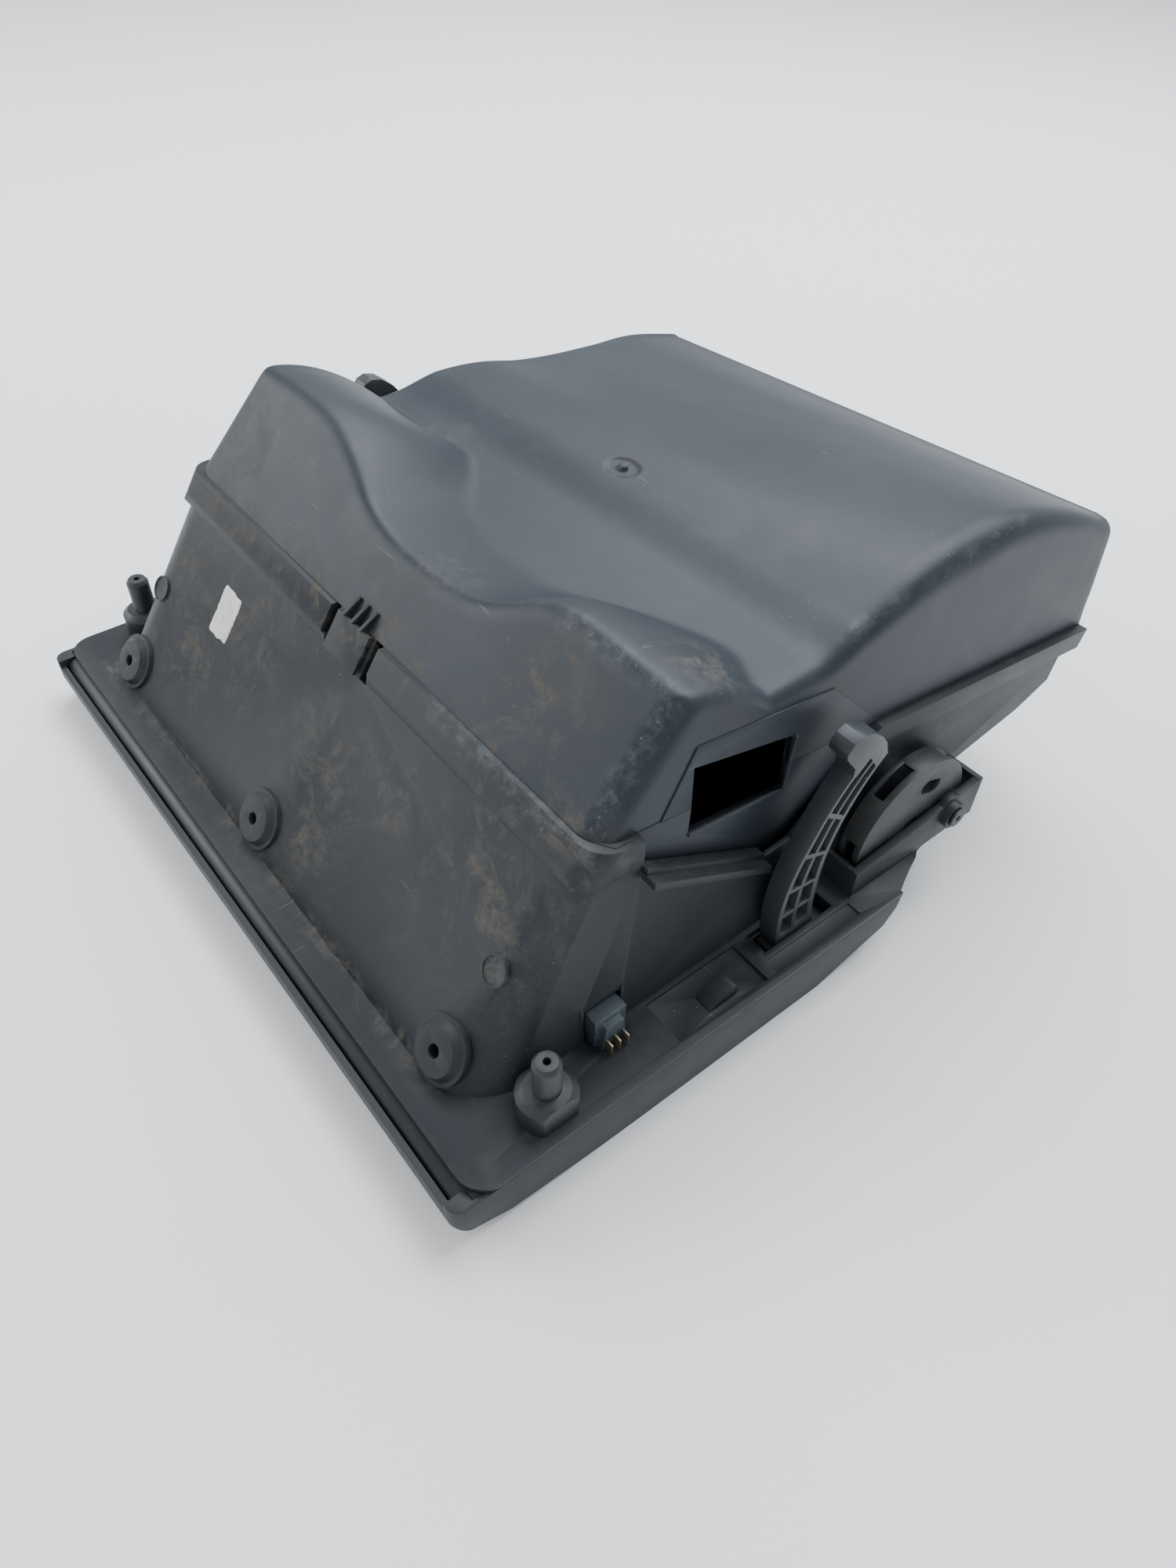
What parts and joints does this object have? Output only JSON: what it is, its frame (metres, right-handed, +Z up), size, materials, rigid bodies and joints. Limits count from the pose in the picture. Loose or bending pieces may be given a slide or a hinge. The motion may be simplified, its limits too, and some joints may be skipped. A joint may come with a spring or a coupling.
{
  "type": "glove box",
  "caption": "Skewed storage bin on a flat front frame with a bottom-hinged lid, hooked stop arms, drum hinges with damper rollers, a lamp opening and a sprung latch.",
  "frame": {"origin": "centre of the bounding box in plan, at the lowest point of the lid", "axes": "+X toward the wall with the lamp opening, +Y from the latch edge toward the hinge, +Z up from the lid toward the bin roof"},
  "size_m": [0.4, 0.4116, 0.176],
  "materials": {
    "housing_plastic": "moulded polypropylene, fine grain, dusty",
    "shell_plastic": "moulded polypropylene, satin, dusty",
    "label_paper": "torn blank paper",
    "peg_plastic": "moulded nylon",
    "switch_plastic": "blue grey moulded plastic",
    "terminal_metal": "dull tinned blade",
    "plunger_plastic": "pale acetal",
    "steel": "plain pin",
    "drum_plastic": "moulded nylon",
    "lid_skin": "fine leather grain, black",
    "liner_plastic": "moulded, satin",
    "screw_steel": "zinc plated",
    "buffer_rubber": "soft moulded",
    "arm_plastic": "glass filled nylon, satin",
    "trim_plastic": "semi gloss black",
    "spring_steel": "oiled strip",
    "bolt_metal": "die cast, dull",
    "lock_metal": "worn plating"
  },
  "bodies": {
    "housing": {"lower_housing": "housing_plastic", "upper_shell": "shell_plastic", "snap_clip": "housing_plastic", "paper_label": "label_paper", "guide_peg_left": "peg_plastic", "guide_peg_right": "peg_plastic", "switch_body": "switch_plastic", "switch_terminals": "terminal_metal", "hinge_axle_left": "steel", "hinge_axle_right": "steel"},
    "plunger": {"switch_plunger": "plunger_plastic"},
    "roller_left": {"damper_roller_left": "drum_plastic"},
    "roller_right": {"damper_roller_right": "drum_plastic"},
    "lid": {"lid_outer_skin": "lid_skin", "lid_inner_liner": "liner_plastic", "liner_screws": "screw_steel", "stop_buffers": "buffer_rubber", "stop_arm_left": "arm_plastic", "stop_arm_right": "arm_plastic", "arm_rivets": "steel", "hinge_drum_left": "drum_plastic", "hinge_drum_right": "drum_plastic", "handle_bezel": "trim_plastic", "handle_pin": "steel", "handle_spring": "spring_steel", "bolt_guide": "liner_plastic", "lock_sleeve": "trim_plastic"},
    "handle": {"latch_handle": "trim_plastic"},
    "bolt": {"latch_bolt": "bolt_metal"},
    "lock": {"lock_cylinder": "lock_metal"}
  },
  "joints": [
    {"name": "lid_hinge", "type": "hinge", "parent": "housing", "child": "lid", "pos_m": [0, 0.058, 0.0495], "axis": [1, 0, 0], "range_deg": [0, 59]},
    {"name": "roller_left_spin", "type": "hinge", "parent": "housing", "child": "roller_left", "pos_m": [-0.18, 0.082, 0.046], "axis": [1, 0, 0], "range_deg": [-1, 237]},
    {"name": "roller_right_spin", "type": "hinge", "parent": "housing", "child": "roller_right", "pos_m": [0.18, 0.082, 0.046], "axis": [1, 0, 0], "range_deg": [-1, 237]},
    {"name": "handle_pull", "type": "hinge", "parent": "lid", "child": "handle", "pos_m": [0, -0.172, 0.006], "axis": [-1, 0, 0], "range_deg": [0, 32], "stiffness_Nm_per_rad": 0.2, "springref_deg": -17.19},
    {"name": "bolt_slide", "type": "slide", "parent": "lid", "child": "bolt", "axis": [0, 1, 0], "range_m": [0, 0.0044]},
    {"name": "lock_turn", "type": "hinge", "parent": "lid", "child": "lock", "pos_m": [0.086, -0.157, 0.011], "axis": [0, 0, -1], "range_deg": [0, 90]},
    {"name": "plunger_press", "type": "slide", "parent": "housing", "child": "plunger", "axis": [0, 0, 1], "range_m": [0, 0.003], "stiffness_N_per_m": 120, "springref_m": -0.002}
  ],
  "couplings": [
    {"joint": "roller_left_spin", "follows": "lid_hinge", "ratio": 4},
    {"joint": "roller_right_spin", "follows": "lid_hinge", "ratio": 4},
    {"joint": "bolt_slide", "follows": "handle_pull", "m_per_rad": 0.0075}
  ]
}
